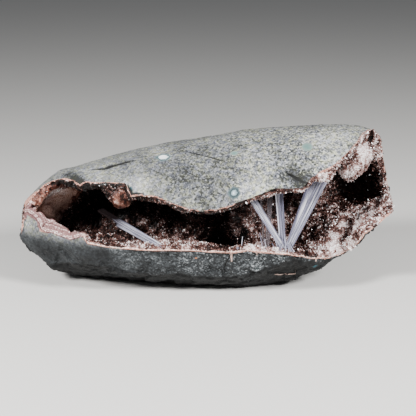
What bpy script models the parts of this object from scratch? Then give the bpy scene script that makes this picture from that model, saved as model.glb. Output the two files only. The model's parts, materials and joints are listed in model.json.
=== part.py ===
"""Scolecite geode: a long basalt nodule, broken open along its front and right end.

The nodule's hollow is lined with a druse of small heulandite crystals, and flat sprays of
scolecite stand across it from floor to roof. +Z is up, the mouth faces -Y and the wide open
end is at +X. Lengths are in millimetres and angles in degrees until a mesh is made; the
origin is on the surface that the geode stands on, under the middle of its box.
"""

import math

import bmesh
import bpy
import numpy as np
from mathutils import Matrix, Vector, noise

MM = 0.001

# The nodule before it broke: along X, its crest height, underside height, half depth and the
# Y of its middle.
NODULE = (
    (-120, 38, 28, 5, 3),
    (-116, 42, 28, 13, 3),
    (-111, 48.8, 21.5, 18, 3),
    (-105, 56.4, 15.5, 23, 3),
    (-99, 62.3, 10, 29, 2.5),
    (-90, 69.2, 3.3, 36, 2),
    (-80, 71, 0.5, 40, 1.5),
    (-70, 74, -1, 43, 1),
    (-45, 81, -1, 48, 0),
    (-20, 86, -1, 51, 0),
    (0, 89, -2, 52, 0),
    (25, 93.6, -3, 52, 0),
    (50, 95.6, 0, 51, 1),
    (60, 96.2, 3.5, 50.5, 1.5),
    (70, 96.7, 9.3, 50, 2),
    (80, 96.2, 16.6, 49.5, 2.5),
    (90, 96, 22, 48, 3.5),
    (100, 93.4, 29, 45, 5),
    (105, 91.2, 33, 43, 6),
    (110, 88, 37, 40, 7),
    (118, 82, 43, 33, 9),
    (126, 72, 52, 20, 10),
    (130, 64, 60, 4, 10),
)
NODULE_STATIONS = 35
NODULE_AROUND = 30
NODULE_CROWDING = 0.06  # how much closer the sections stand at the nodule's ends
NODULE_LUMPS = ((34, 0.9), (13, 0.5))  # size across and height of its swells
NODULE_PLACE = Vector((3.1, 0.4, 7.7))  # where in the noise the nodule lies

# The mouth's lips: along X, their angle round the nodule's section, from straight forward (0)
# over the crest (90) to straight back (180).
UPPER_LIP = (
    (-113, 50),
    (-110, 55),
    (-104, 64),
    (-98, 69),
    (-89, 63),
    (-83, 64),
    (-79, 57),
    (-75, 50),
    (-72, 53),
    (-59, 48),
    (-47, 43),
    (-44, 31),
    (-34, 30),
    (-28, 28),
    (-21, 22),
    (-12, 17),
    (-6, 14),
    (9, 14),
    (17, 16),
    (25, 19),
    (40, 24),
    (56, 22),
    (61, 28),
    (66, 32),
    (73, 34),
    (78, 40),
    (83, 45),
    (88, 54),
    (92, 63),
    (94, 72),
    (99, 82),
    (105, 106),
    (112, 116),
    (128, 120),
)
LOWER_LIP = (
    (-113, 49),
    (-110, 47),
    (-105, 30),
    (-100, 19),
    (-92, 6),
    (-87, 4),
    (-80, 2),
    (-72, 5),
    (-69, -2),
    (-62, -5),
    (-53, -8),
    (-32, -12),
    (-3, -14),
    (16, -16),
    (23, -14),
    (35, -18),
    (53, -23),
    (57, -28),
    (69, -40),
    (77, -52),
    (83, -66),
    (89, -66),
    (93, -38),
    (100, -38),
    (108, -28),
    (128, -20),
)
# The wall that the hollow leaves: along X, its thickness below, behind and above.
WALLS = (
    (-113, 2, 3, 2),
    (-100, 9, 7, 5),
    (-75, 20, 8, 8),
    (-45, 26, 9, 10),
    (-15, 28, 11, 12),
    (10, 20, 11, 13),
    (35, 15, 10, 13),
    (65, 11, 8, 12),
    (90, 6, 5.5, 8),
    (105, 4.5, 4.5, 5),
    (128, 4, 4, 4),
)
HOLLOW_STATIONS = (
    -112, -108, -104, -98, -92, -86, -80, -75, -72, -69, -63, -57, -51, -47.5, -44, -38, -30,
    -21, -12, -3, 6, 15, 24, 32, 40, 48, 56, 61, 67, 74, 81, 86, 90, 94, 100, 106, 114, 124,
)  # fmt: skip
OUTSIDE_POINTS = 6  # ring points that run in the open, in front of the mouth
INSIDE_POINTS = 19  # and those on the wall, from the lower lip round to the upper one
OUTSIDE_REACH = 1.35  # how far the first lie from the section's middle, in section radii
MOUTH_OVERRUN = 3  # angle by which the open points pass each lip
LIP_STEP = 1.5  # angle from each lip to the wall's first point
LIP_CROWDING = 0.025  # how much closer the wall's points stand by the lips
LIP_RISE_DEG = 40  # angle past a lip by which the wall has its full thickness
LUMPS_FROM, LUMPS_OVER = 2, 20  # angle past a lip where lumps begin, and how soon they are full
HOLLOW_LUMPS = ((26, 2.4), (11, 1.6))
HOLLOW_SLIDE = (5, 1.4)  # size and length of the sideways shifts of the wall's points
HOLLOW_PLACE = Vector((9.2, 5.5, 1.3))
DRIFT_LEVEL = 31.1  # how far apart in the noise the three directions of a shift lie

# Where the hollow's wall swells or sinks: its middle, reach each way and push.
SWELLS = (
    ("saddle between the chambers", (-8, 34, 44), (19, 30, 24), (0, -46, 0)),
    ("curtain between the left chambers", (-53, -22, 68), (8, 15, 18), (2, -2, -27)),
    ("ledge of the left chamber", (-88, 22, 45), (15, 15, 15), (0, -12, 0)),
    ("floor behind the left sill", (-58, -20, 20), (20, 20, 14), (0, 0, 6)),
    ("floor of the open end", (84, 6, 18), (22, 34, 22), (0, -6, 12)),
    ("floor by the right end", (104, -8, 38), (12, 22, 12), (0, 0, 5)),
    ("arch over the open end", (90, 2, 87), (14, 15, 13), (0, -5, -25)),
    ("arch's right end", (103, 16, 82), (9, 14, 14), (-1, -7, -12)),
    ("pocket in the open end", (94, 40, 54), (12, 12, 12), (2, 3, -2)),
)
# Where the crust is thicker: its middle, reach and the thickness added.
THICK_CRUST = (
    ("banded sill of the left chamber", (-89, -32, 40), 12, 5.5),
    ("left tip", (-108, -6, 44), 8, 1.5),
    ("lump under the upper lip", (65, -36, 78), 7, 3.0),
    ("right sill", (82, -14, 22), 14, 1.5),
)

# Flat breaks: a point on each and the way it faces.
BREAKS = (
    ("resting face", (0, 0, 0), (0, 0, -1)),
    ("front band, left", (-10, -38.6, 14), (-0.051, -0.87, -0.49)),
    ("front band, right", (10, -38.6, 14.5), (-0.007, -0.88, -0.475)),
    ("underside, left", (-30, -38.5, 13.7), (-0.12, -0.43, -0.9)),
    ("underside, right", (25, -42, 17.6), (0.167, -0.61, -0.78)),
    ("left band", (-74, -44.1, 30.4), (-0.451, -0.715, -0.533)),
    ("left underside", (-103, -13.5, 18), (-0.6, -0.45, -0.66)),
    ("left tip", (-114.8, 0, 30), (-0.97, -0.15, 0.19)),
    ("right end, upper", (107.3, 15, 86.5), (0.893, -0.045, 0.446)),
    ("right end", (114.2, 30, 60), (0.983, -0.05, 0.175)),
    ("right end, under", (96, 10, 26), (0.58, 0.2, -0.79)),
    ("right end, front", (103, -30.7, 43.5), (0.706, -0.171, -0.686)),
    ("back, left", (-60, 43, 50), (-0.3, 0.93, 0.2)),
    ("back, right", (60, 51, 55), (0.03, 0.98, 0.16)),
    ("back, underside", (0, 36, 12), (0.0, 0.66, -0.75)),
)

CRUST_GAP = 0.3  # between the rock and its crust
BLADE_GAP = 0.5  # between the crust and the blades that stand in it
CRUST = 1.3  # the crust's thickness under its crystals
CRYSTALS = (0.8, 3.0)  # least and greatest height of the druse's points
CRYSTAL_LUMP = 14  # distance over which their height changes
CRYSTAL_GRAIN = (0.9, 0.6)  # how fast and how far one point's height differs from the next
CRYSTAL_LEAN = (0.7, 1.5)  # and how fast and how far the points lean

# Scolecite blades: foot, head, width at each end and thickness. Feet lie behind the sill.
SPRAY = (
    ((45.6, -40, 30.5), (21.8, -32, 67), 3.6, 4.2, 2.4),
    ((45.4, -38, 30.5), (41.6, -29, 78), 4.0, 5.6, 2.6),
    ((47.8, -39, 30), (64.5, -29, 76), 3.4, 4.4, 2.6),
    ((48.3, -40, 30), (74, -27, 80), 3.8, 6.6, 2.8),
    ((45, -39, 29), (40.5, -37, 38), 2.8, 1.4, 1.8),
)
LEFT_BLADE = (
    ((-26, -42, 31), (-65.5, 4, 41.3), 4.0, 4.0, 2.2),
    ((-28, -41.5, 30), (-53, -14, 35.6), 3.0, 2.6, 1.6),
)
BACK_PAIR = (
    ((35, -24, 24), (32.4, -16, 66), 1.4, 1.4, 1.2),
    ((36.6, -24, 24), (39.4, -14, 72), 2.6, 3.6, 1.6),
)
SHADOW_BLADE = (((19.6, -8, 20), (24.4, -5, 35), 3.6, 4.2, 2.2),)


# ---------------------------------------------------------------- collections and helpers


def clear_scene():
    for obj in list(bpy.data.objects):
        bpy.data.objects.remove(obj)


def collection(name):
    made = bpy.data.collections.new(name)
    bpy.context.scene.collection.children.link(made)
    return made


def along(table, x):
    """The table's columns at x, straight between its rows."""
    rows = np.array(table, float)
    return [float(np.interp(x, rows[:, 0], rows[:, i])) for i in range(1, rows.shape[1])]


def smooth(share):
    share = max(0.0, min(1.0, share))
    return share * share * (3 - 2 * share)


def object_of(name, bm, into, hidden=False):
    """Makes an object in metres from a mesh in millimetres."""
    bmesh.ops.triangulate(bm, faces=bm.faces)
    bmesh.ops.recalc_face_normals(bm, faces=bm.faces)
    bmesh.ops.scale(bm, vec=(MM, MM, MM), verts=bm.verts)
    mesh = bpy.data.meshes.new(name)
    bm.to_mesh(mesh)
    bm.free()
    obj = bpy.data.objects.new(name, mesh)
    into.objects.link(obj)
    if hidden:
        obj.hide_render = True
        obj.display_type = "WIRE"
    return obj


def loft(rings):
    """One closed skin through rings that have the same number of points."""
    bm = bmesh.new()
    loops = [[bm.verts.new(p) for p in ring] for ring in rings]
    count = len(rings[0])
    for near, far in zip(loops, loops[1:]):
        for i in range(count):
            j = (i + 1) % count
            bm.faces.new((near[i], near[j], far[j], far[i]))
    for end in (loops[0], loops[-1]):
        middle = bm.verts.new(sum((v.co for v in end), Vector()) / count)
        for i in range(count):
            bm.faces.new((end[i], end[(i + 1) % count], middle))
    bmesh.ops.recalc_face_normals(bm, faces=bm.faces)
    return bm


def lumps(point, sizes, place):
    """How far smooth swells of the given sizes and heights raise a skin at a point."""
    return sum(height * noise.noise(point / size + place) for size, height in sizes)


def drift(point):
    """A smooth noise in each direction at a point, each read from a level of its own."""
    return Vector([noise.noise(point + Vector((0, 0, DRIFT_LEVEL * i))) for i in range(3)])


def combine(obj, operation, other):
    modifier = obj.modifiers.new(operation.title(), "BOOLEAN")
    modifier.operation = operation
    modifier.object = other
    modifier.solver = "EXACT"
    modifier.use_self = True


def solidified(obj, name, into, material):
    """The object's evaluated mesh as a new object, without the chips that cuts left loose."""
    bpy.context.view_layer.update()
    graph = bpy.context.evaluated_depsgraph_get()
    mesh = bpy.data.meshes.new_from_object(obj.evaluated_get(graph))
    bm = bmesh.new()
    bm.from_mesh(mesh)
    islands, left = [], set(bm.faces)
    while left:
        found, edge = set(), [left.pop()]
        while edge:
            face = edge.pop()
            found.add(face)
            beside = [f for e in face.edges if len(e.link_faces) == 2 for f in e.link_faces]
            edge += [f for f in beside if f in left]
            left.difference_update(edge)
        islands.append(found)
    islands.sort(key=lambda faces: sum(f.calc_area() for f in faces))
    loose = [f for island in islands[:-1] for f in island]
    bmesh.ops.delete(bm, geom=loose, context="FACES")
    bmesh.ops.delete(bm, geom=[v for v in bm.verts if not v.link_faces], context="VERTS")
    bm.to_mesh(mesh)
    bm.free()
    mesh.name = name
    made = bpy.data.objects.new(name, mesh)
    into.objects.link(made)
    mesh.materials.clear()
    mesh.materials.append(material)
    bpy.data.objects.remove(obj)
    return made


def stone_material(name, colour, roughness, transmission=0.0):
    material = bpy.data.materials.new(name)
    material.use_nodes = True
    shader = material.node_tree.nodes["Principled BSDF"]
    shader.inputs["Base Color"].default_value = (*colour, 1)
    shader.inputs["Roughness"].default_value = roughness
    shader.inputs["Transmission Weight"].default_value = transmission
    return material


# ---------------------------------------------------------------------------- the nodule


def section(x):
    """Middle Y and Z, half depth and half height of the nodule's section at x."""
    crest, under, depth, middle = along(NODULE, x)
    return middle, (crest + under) / 2, depth, (crest - under) / 2


def on_section(x, angle, reach=1.0, wall=0.0):
    """The point at an angle round the section, a wall's thickness inside it."""
    y, z, depth, height = section(x)
    turn = math.radians(angle)
    ahead, up = -math.cos(turn), math.sin(turn)
    inside = 1 - wall / math.hypot(depth * ahead, height * up)
    size = reach * max(inside, 0.04)
    return Vector((x, y + depth * ahead * size, z + height * up * size))


def nodule_skin():
    first, last = NODULE[0][0], NODULE[-1][0]
    rings = []
    for i in range(NODULE_STATIONS):
        share = i / (NODULE_STATIONS - 1)
        share -= NODULE_CROWDING * math.sin(2 * math.pi * share)
        x = first + (last - first) * share
        rings.append([on_section(x, 360 * k / NODULE_AROUND) for k in range(NODULE_AROUND)])
    bm = loft(rings)
    bm.normal_update()
    for v in bm.verts:
        v.co += v.normal * lumps(v.co, NODULE_LUMPS, NODULE_PLACE)
    return bm


def break_off(bm, point, normal):
    """Cuts away what lies beyond a plane and closes the cut."""
    cut = bmesh.ops.bisect_plane(
        bm,
        geom=bm.verts[:] + bm.edges[:] + bm.faces[:],
        plane_co=point,
        plane_no=normal,
        clear_outer=True,
    )
    edges = [e for e in cut["geom_cut"] if isinstance(e, bmesh.types.BMEdge)]
    bmesh.ops.holes_fill(bm, edges=edges)


def broken_nodule(into):
    bm = nodule_skin()
    for _, point, normal in BREAKS:
        break_off(bm, point, normal)
    return object_of("nodule", bm, into, hidden=True)


# ---------------------------------------------------------------------------- the hollow


def wall_angle(past, inside, lower, x):
    """The angle and the wall's thickness at a place past the lower lip."""
    angle = lower - past
    turn = math.radians(angle)
    shares = (max(0, -math.sin(turn)), max(0, -math.cos(turn)), max(0, math.sin(turn)))
    full = sum(w * s for w, s in zip(along(WALLS, x), shares)) / max(sum(shares), 0.1)
    nearest = min(past, inside - past)
    return angle, full * math.sqrt(smooth(nearest / LIP_RISE_DEG)), nearest


def hollow_ring(x):
    """The hollow's outline at x, out past the mouth and in round the wall, and for each point
    how freely the wall's lumps move it: not at all on the lips."""
    (lower,), (upper,) = along(LOWER_LIP, x), along(UPPER_LIP, x)
    ring, free = [], []
    for k in range(OUTSIDE_POINTS):
        share = k / (OUTSIDE_POINTS - 1)
        angle = (upper - MOUTH_OVERRUN) * (1 - share) + (lower + MOUTH_OVERRUN) * share
        ring.append(on_section(x, angle, OUTSIDE_REACH))
        free.append(0.0)
    inside = 360 - (upper - lower)
    for k in range(INSIDE_POINTS):
        share = k / (INSIDE_POINTS - 1)
        share -= LIP_CROWDING * math.sin(4 * math.pi * share)
        past = LIP_STEP + (inside - 2 * LIP_STEP) * share
        angle, wall, nearest = wall_angle(past, inside, lower, x)
        ring.append(on_section(x, angle, wall=wall))
        free.append(smooth((nearest - LUMPS_FROM) / LUMPS_OVER))
    return ring, free


def hollow_skin():
    """The hollow's wall; it runs out through the mouth."""
    made = [hollow_ring(x) for x in HOLLOW_STATIONS]
    bm = loft([ring for ring, _ in made])
    bm.normal_update()
    bm.verts.ensure_lookup_table()
    free = [f for _, ring in made for f in ring]
    size, reach_of_slide = HOLLOW_SLIDE
    for v, share in zip(bm.verts[:], free):
        moved = Vector()
        for _, middle, reach, push in SWELLS:
            away = [(c - m) / r for c, m, r in zip(v.co, middle, reach)]
            moved += Vector(push) * math.exp(-sum(a * a for a in away))
        rise = lumps(v.co, HOLLOW_LUMPS, HOLLOW_PLACE)
        slide = drift(v.co / size + HOLLOW_PLACE) * reach_of_slide
        slide -= v.normal * slide.dot(v.normal)
        v.co += (moved + v.normal * rise + slide) * share
    bm.normal_update()
    return bm


def inset_skin(inset, thicker=()):
    """The hollow's wall moved inwards, and further at the places where the crust is thicker."""
    bm = hollow_skin()
    for v, normal in [(v, v.normal.copy()) for v in bm.verts]:
        depth = inset
        for _, middle, reach, more in thicker:
            away = (v.co - Vector(middle)).length / reach
            depth += more * math.exp(-away * away)
        v.co -= normal * depth
    return bm


def druse_skin(inset, gap=0.0):
    """The crust's inner face, every patch of the wall drawn up to a crystal's point, or a skin
    at a gap before it."""
    bm = inset_skin(inset, THICK_CRUST)
    low, high = CRYSTALS
    grain_pace, grain = CRYSTAL_GRAIN
    lean_pace, lean = CRYSTAL_LEAN
    for face in bm.faces[:]:
        middle = face.calc_center_median()
        share = 0.5 + 0.5 * noise.noise(middle / CRYSTAL_LUMP)
        share += grain * noise.noise(middle * grain_pace)
        height = low + (high - low) * max(0.0, min(1.0, share))
        aside = drift(middle * lean_pace) * lean
        point = middle - face.normal * height + aside
        bmesh.ops.poke(bm, faces=[face])["verts"][0].co = point
    bm.normal_update()
    for v, normal in [(v, v.normal.copy()) for v in bm.verts]:
        v.co -= normal * gap
    return bm


# ----------------------------------------------------------------------------- the blades


def blade(foot, head, foot_width, head_width, thickness):
    """A flat six-sided prism with a chisel head, standing on its foot."""
    foot, head = Vector(foot), Vector(head)
    length = (head - foot).length
    bm = bmesh.new()
    bmesh.ops.create_cone(
        bm, cap_ends=True, segments=6, radius1=0.5, radius2=0.5, depth=1.0
    )
    for v in bm.verts:
        share = v.co.z + 0.5
        width = foot_width + (head_width - foot_width) * share
        v.co = Vector((v.co.x * width, v.co.y * thickness, share * length))
    upright = (head - foot).to_track_quat("Z", "Y")
    across = upright.to_matrix().to_4x4()
    facing = across.inverted() @ Vector((1, 0, 0))
    turn = Matrix.Rotation(math.atan2(facing.y, facing.x), 4, "Z")
    bmesh.ops.transform(bm, matrix=Matrix.Translation(foot) @ across @ turn, verts=bm.verts)
    return bm


def scolecite(name, blades, room, cutters, into, material):
    """Blades that grew from one foot, joined in one solid and cut to the room they have."""
    made = [
        object_of(f"{name}_{i}", blade(*b), cutters, hidden=True) for i, b in enumerate(blades)
    ]
    for other in made[1:]:
        combine(made[0], "UNION", other)
    combine(made[0], "INTERSECT", room)
    result = solidified(made[0], name, into, material)
    for other in made[1:]:
        bpy.data.objects.remove(other)
    return result


# -------------------------------------------------------------------------------- the geode


def centre_on_floor(pieces):
    """Moves the meshes so that the origin is under the middle of the geode's box."""
    points = np.array([v.co for piece in pieces for v in piece.data.vertices])
    low, high = points.min(axis=0), points.max(axis=0)
    middle = (low + high) / 2
    shift = Matrix.Translation((-middle[0], -middle[1], -low[2]))
    for piece in pieces:
        piece.data.transform(shift)


def nodule_copy(nodule):
    """The broken nodule's mesh again, in millimetres."""
    bm = bmesh.new()
    bm.from_mesh(nodule.data)
    bmesh.ops.scale(bm, vec=(1 / MM, 1 / MM, 1 / MM), verts=bm.verts)
    return bm


def main():
    clear_scene()
    geode = collection("scolecite_geode")
    cutters = collection("cutters")
    basalt = stone_material("basalt", (0.27, 0.28, 0.27), 0.85)
    heulandite = stone_material("heulandite", (0.33, 0.20, 0.16), 0.3)
    needle = stone_material("scolecite", (0.66, 0.65, 0.72), 0.25, 0.3)

    nodule = broken_nodule(cutters)
    hollow = object_of("hollow", hollow_skin(), cutters, hidden=True)
    druse = object_of("druse", druse_skin(CRUST_GAP + CRUST), cutters, hidden=True)
    room = object_of("room", druse_skin(CRUST_GAP + CRUST, BLADE_GAP), cutters, hidden=True)

    host = object_of("host_raw", nodule_copy(nodule), cutters)
    combine(host, "DIFFERENCE", hollow)
    solidified(host, "basalt_host", geode, basalt)

    crust = object_of("crust_raw", inset_skin(CRUST_GAP), cutters)
    combine(crust, "DIFFERENCE", druse)
    combine(crust, "INTERSECT", nodule)
    solidified(crust, "heulandite_crust", geode, heulandite)

    for name, blades in (
        ("scolecite_spray", SPRAY),
        ("scolecite_left_blade", LEFT_BLADE),
        ("scolecite_back_pair", BACK_PAIR),
        ("scolecite_shadow_blade", SHADOW_BLADE),
    ):
        scolecite(name, blades, room, cutters, geode, needle)
    centre_on_floor(geode.objects)


main()
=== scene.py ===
"""Dresses the scolecite geode: the broken basalt nodule, its lining of heulandite crystals and
the flat scolecite sprays that cross the hollow.

Places and sizes are in millimetres until a mesh is made. +Z is up and the mouth faces -Y.
"""

import json
import math

import bmesh
import bpy
import numpy as np
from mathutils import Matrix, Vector, noise
from mathutils.bvhtree import BVHTree

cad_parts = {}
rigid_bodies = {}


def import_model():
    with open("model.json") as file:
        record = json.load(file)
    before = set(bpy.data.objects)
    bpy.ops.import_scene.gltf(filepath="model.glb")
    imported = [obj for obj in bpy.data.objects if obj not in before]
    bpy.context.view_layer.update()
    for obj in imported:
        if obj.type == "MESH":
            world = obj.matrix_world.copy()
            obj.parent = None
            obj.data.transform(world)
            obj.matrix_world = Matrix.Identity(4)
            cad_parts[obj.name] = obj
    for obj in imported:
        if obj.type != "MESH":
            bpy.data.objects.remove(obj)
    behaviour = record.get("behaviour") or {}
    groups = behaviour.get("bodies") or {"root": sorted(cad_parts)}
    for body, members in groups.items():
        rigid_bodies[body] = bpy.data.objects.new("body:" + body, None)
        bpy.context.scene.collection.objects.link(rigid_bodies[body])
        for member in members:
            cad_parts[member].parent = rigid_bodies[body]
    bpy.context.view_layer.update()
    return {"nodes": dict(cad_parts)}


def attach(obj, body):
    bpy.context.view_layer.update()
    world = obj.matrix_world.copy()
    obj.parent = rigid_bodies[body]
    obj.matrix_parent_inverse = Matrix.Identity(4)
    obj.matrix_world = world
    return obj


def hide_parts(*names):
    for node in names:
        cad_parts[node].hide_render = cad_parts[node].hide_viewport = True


MM = 0.001

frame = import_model()

# Flat breaks of the nodule: a point on each and the way it faces.
BREAKS = (
    ((-10, -39.3, 14), (-0.051, -0.87, -0.49)),
    ((10, -39.3, 14.5), (-0.007, -0.88, -0.475)),
    ((-30, -39.2, 13.7), (-0.12, -0.43, -0.9)),
    ((25, -42.7, 17.6), (0.167, -0.61, -0.78)),
    ((-74, -44.8, 30.4), (-0.451, -0.715, -0.533)),
    ((-103, -14.2, 18), (-0.6, -0.45, -0.66)),
    ((-114.8, -0.7, 30), (-0.97, -0.15, 0.19)),
    ((107.3, 14.3, 86.5), (0.893, -0.045, 0.446)),
    ((114.2, 29.3, 60), (0.983, -0.05, 0.175)),
    ((96, 9.3, 26), (0.58, 0.2, -0.79)),
    ((103, -31.4, 43.5), (0.706, -0.171, -0.686)),
    ((0, 35.3, 12), (0, 0.66, -0.75)),
    ((0, 0, 0), (0, 0, -1)),
)

# Cracks in the skin: their course, width and depth.
LONG_CRACK = (
    (-71.3, -12.1, 71.6), (-66, -13.6, 72.8), (-60.4, -15.8, 73.8),
    (-51.4, -15.8, 76.6), (-45.4, -16.5, 78.1), (-39.3, -17.5, 79.2),
)
TOP_CRACK = ((-15.5, -15.9, 84.6), (-9.5, -19.7, 84.2), (-3.5, -23.7, 83.5), (11.1, -31.7, 81.3))
ARCH_CRACK = ((46.4, -39.3, 77.5), (49.8, -41.6, 75.1), (54.4, -43.2, 72.5), (60.1, -44.8, 69.9))
STEP_CRACK = (
    (-46.1, -35.7, 68.4), (-44.8, -39.1, 65.8), (-43.4, -40.4, 63.8), (-36.5, -41.8, 64.2),
)
CRACKS = (
    (LONG_CRACK, 3.8, 0.9),
    (((-63.4, -16, 72.8), (-57.5, -15, 75), (-52.6, -15.8, 76.2)), 3, 0.7),
    (TOP_CRACK, 1.1, 0.8),
    (ARCH_CRACK, 1.6, 1.4),
    (STEP_CRACK, 2.6, 0.8),
    (((14.6, -46.4, 29), (11.5, -43, 22.5), (10.8, -41, 17)), 0.7, 0.6),
    (((65, -43, 69.5), (62.5, -44, 68.3), (60, -44.8, 67.6)), 1.6, 1.6),
)
# Open vesicles in the fresh rock: a short course each, width and depth.
VESICLES = (
    (((45, -46, 26.4), (46.2, -46, 26.5)), 1, 0.8),
    (((37.2, -45.1, 25.2), (37.8, -45.1, 24.6)), 0.9, 0.8),
    (((29.2, -41.9, 19.1), (30.4, -41.9, 19)), 1.1, 0.9),
    (((53, -43.5, 25.2), (53.9, -43.5, 24.8)), 0.9, 0.7),
    (((20.3, -43.8, 22.9), (21, -43.8, 22.4)), 0.8, 0.7),
    (((56, -45.6, 68.3), (56.6, -45.6, 68)), 1, 0.8),
)
# Thin veins of heulandite and calcite in the fresh rock: their course and width at each end.
VEINS = (
    (((14.6, -48.9, 32), (15, -44.5, 24.1)), 1.7, 0.3),
    (((29.1, -48.9, 32.5), (29.8, -46.2, 27.6)), 1.2, 0.2),
    (((64.8, -40.2, 25.8), (65.1, -37.2, 22)), 0.9, 0.2),
    (((41.3, -31.2, 12.1), (48, -29, 11.6)), 0.5, 0.5),
    (((49.5, -28.5, 11.5), (54.2, -26.7, 11.4)), 0.6, 0.3),
)
# Shallow flutes where the skin spalled: their course, reach and depth.
FLUTES = (
    (((44, -37.6, 78.9), (50, -41.8, 74.6), (57.5, -44.9, 69.5)), 3.8, 1.5),
    (((-80.2, -36, 24), (-72.5, -36.5, 21), (-66, -30, 14)), 5, 1.1),
    (((-79.4, -20, 66.5), (-75.5, -24.5, 64.5)), 3.4, 1.6),
    (((-54.3, -17.9, 6.8), (-30.2, -38.7, 15)), 3, -0.9),
)
SCOOP = ((-87, -29, 18.5), 13, 2.4)  # shell-shaped scar under the left chamber

# Darker and lighter places of the rock, some of them painted shade: middle, reach and change of
# tone.
ROCK_TONES_AND_PAINTED_SHADE = (
    ((-9.3, -38.7, 72.6), 17, -0.13),
    ((-0.5, -46.6, 64.4), 9, -0.07),
    # Painted shadow in the notch of the left lip.
    ((-78.5, -18, 67), 4.5, -0.65),
    ((-75.8, -22.5, 65.5), 3.5, -0.7),
    ((-83, -11, 68.4), 3.5, -0.3),
    # Painted shade in the flute and the pit over the spray.
    ((50.4, -41.9, 74.5), 6, -0.42),
    ((57.5, -44, 71), 5, -0.4),
    ((63, -43, 69.5), 4, -0.3),
    ((-38.5, -36, 69), 9, 0.12),
    ((22.6, -44.4, 69.8), 8, 0.08),
    # Painted shade on the underside.
    ((52, -25, 10), 22, -0.32),
    ((0, -30, 8), 24, -0.1),
    ((-100, -20, 26), 12, -0.16),
    ((-108, -10, 56), 10, -0.08),
    ((64.2, -25, 89.5), 26, 0.09),
    ((-60, -25, 70), 24, 0.1),
    ((82.7, -15.8, 93.7), 10, 0.06),
    ((-109.4, -16.5, 40.4), 6, 0.22),
    ((-102.7, -22.8, 34), 6, 0.12),
    ((-88.2, -34.8, 29), 5, 0.1),
    ((-97, -27, 22), 8, -0.16),
    ((-84, -31, 17), 8, 0.12),
    ((-70, -34, 21), 6, -0.18),
    ((-62, -43, 27), 10, -0.24),
    ((-88, -36, 24), 7, -0.18),
    ((-40, -42, 24), 14, -0.06),
    ((30, -43, 22), 16, 0.08),
)

# Amygdules and stains: place, half length along X, half height, turn and kind.
SPOTS = (
    ((-25.5, -19.9, 81.2), 5.2, 2.7, 10, "calcite"),
    ((16.2, -46.6, 65.6), 3.3, 3.7, 20, "ring"),
    ((59.4, -26.4, 88.5), 3.4, 2.7, 0, "celadonite"),
    ((16.5, -27.8, 85.2), 2.4, 1.5, 0, "celadonite"),
    ((65.1, -31, 17), 1.8, 2.6, 0, "green_skin"),
    ((90.3, -26.8, 32.6), 2.4, 1.6, 0, "green_skin"),
    ((114.7, 30.9, 54.4), 3, 3.4, 0, "green_skin"),
    ((115, 13.5, 50), 3, 2.4, 0, "green_skin"),
    ((104, -27, 47), 4.4, 2.4, 40, "green_skin"),
    ((-44.6, -39.2, 62.6), 1.8, 4.8, 12, "green_skin"),
    ((-5.8, -45.5, 26.2), 0.9, 0.8, 0, "rust"),
    ((45.6, -46, 26.4), 1, 0.8, 0, "lining"),
    ((29.8, -41.9, 19), 1, 0.9, 0, "lining"),
)

# Darker and paler places of the heulandite, among them painted light and shade: middle, reach and
# change of tone.
CRUST_TONES_AND_PAINTED_LIGHT_AND_SHADE = (
    # Painted light, together with the crystals' own paleness, on the arch over the open end.
    ((97.3, -1.6, 80.5), 7, 0.65),
    ((93.7, -10.2, 84.7), 7, 0.25),
    ((106.9, 33.6, 70.8), 8, 0.22),
    ((91.6, -10.1, 73.6), 7, 0.3),
    ((82.5, -7.9, 68.5), 7, 0.34),
    # Painted shade in the hole at the top of the open end.
    ((101.8, 2.5, 88.4), 5, -1.4),
    # Painted light on the kidney-shaped crust of the left chamber, which the lip shades.
    ((-99, 10, 45), 13, 1.05),
    ((-91, 9, 54), 10, 0.8),
    ((-98.4, 12, 40), 5, 0.7),
    ((-48, -30, 32), 12, -0.2),
    ((-97.9, -7.2, 58.1), 8, 0.15),
    ((-52.1, -27.9, 56.9), 8, 0.25),
    ((68, -41, 75.5), 6, 0.3),
    # Painted shade in the deep pocket of the open end.
    ((97, 40, 50), 13, -1.4),
    ((103, 28, 47), 8, -0.7),
    ((98, 43, 58), 9, -0.8),
    ((99.6, 12, 42.3), 5, 0.4),
    ((100.2, -15.7, 45.2), 6, 0.26),
    ((78, -16.6, 30.4), 6, 0.22),
    ((90.2, -14, 36.5), 6, 0.24),
    ((82.2, -4.5, 37.3), 5, 0.24),
    ((68.5, -10.6, 28), 6, -0.3),
    ((74, 20, 30), 14, -0.12),
    ((86.4, 6.5, 38.9), 7, 0.1),
    # Painted shade in the pits behind the rim, under the ridge and beside the spray.
    ((11.9, 9.7, 19.9), 9, -0.75),
    ((5.6, 8.9, 22.1), 9, -0.55),
    ((9, -4, 20), 8, -0.5),
    ((12, -38, 29), 11, -0.6),
    ((57, -38, 27), 9, -0.5),
    ((40, 0, 26), 14, -0.3),
    ((-24.5, -26.9, 32), 9, 0.14),
    ((-3.7, -18.7, 28.2), 9, 0.2),
    ((-22.6, 10.7, 31.4), 8, 0.06),
    ((-35, -38, 31), 7, 0.1),
    ((-60, 30, 40), 14, -0.3),
    ((-74.3, 29.8, 39.6), 9, -0.2),
)
# Places where the crust swells or dips: middle, reach and rise.
CRUST_RISES = (
    ((-99, 10.5, 46), 9, 5),
    ((-91, 8.5, 55), 8, 4),
    ((-98.4, 14, 40), 5, 3),
    ((-52, -26, 56), 6, 2),
    ((70, -38, 75), 5, 4),
    ((100, -2.5, 90), 5, 1.6),
)
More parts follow.
